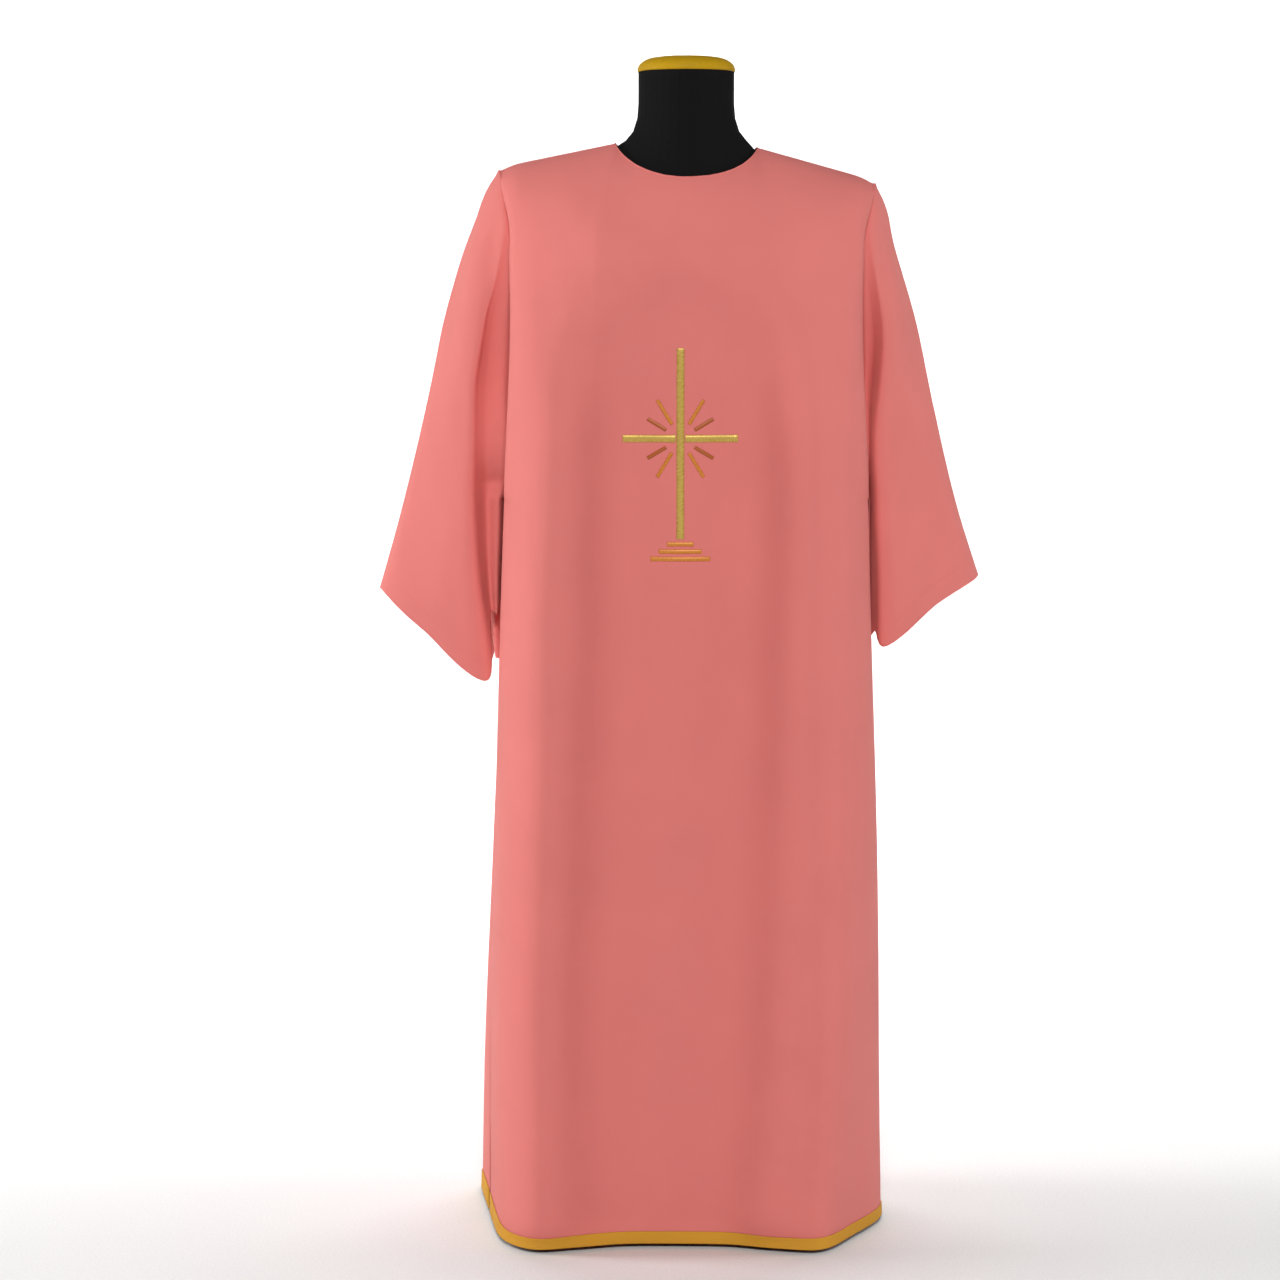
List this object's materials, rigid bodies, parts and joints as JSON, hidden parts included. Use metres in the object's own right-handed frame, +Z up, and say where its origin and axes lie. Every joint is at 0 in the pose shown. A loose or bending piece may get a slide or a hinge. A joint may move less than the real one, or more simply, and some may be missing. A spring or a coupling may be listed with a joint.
{
  "type": "dalmatic on dress form",
  "caption": "Long tunic vestment with wide elbow-length sleeves, a gold cross and a gold hem braid, worn by a limbless dress form.",
  "frame": {"origin": "centre of the foot's underside, on the floor", "axes": "+Z up, the garment's front faces -Y, the wearer's left is at +X"},
  "size_m": [0.744, 0.3283, 1.456],
  "materials": {
    "rose_cloth": "matt plain weave, rose",
    "gold_braid": "flat woven braid, gold",
    "gold_thread": "satin stitch in metallic gold thread",
    "amber_thread": "satin stitch in amber thread",
    "black_jersey": "stretched black jersey",
    "gold_cap": "satin gold",
    "steel": "dark grey, powder coated"
  },
  "bodies": {
    "root": {"front_panel": "rose_cloth", "back_panel": "rose_cloth", "sleeve_right_front": "rose_cloth", "sleeve_right_back": "rose_cloth", "sleeve_left_front": "rose_cloth", "sleeve_left_back": "rose_cloth", "hem_braid_front": "gold_braid", "hem_braid_back": "gold_braid", "emblem_upright": "gold_thread", "emblem_arm_right": "gold_thread", "emblem_arm_left": "gold_thread", "emblem_ray_1_1": "amber_thread", "emblem_ray_1_2": "amber_thread", "emblem_ray_2_1": "amber_thread", "emblem_ray_2_2": "amber_thread", "emblem_ray_3_1": "amber_thread", "emblem_ray_3_2": "amber_thread", "emblem_ray_4_1": "amber_thread", "emblem_ray_4_2": "amber_thread", "emblem_step_1": "amber_thread", "emblem_step_2": "amber_thread", "emblem_step_3": "amber_thread", "form_torso": "black_jersey", "form_neck_cap": "gold_cap", "form_pole": "steel", "form_foot": "steel"}
  },
  "joints": []
}
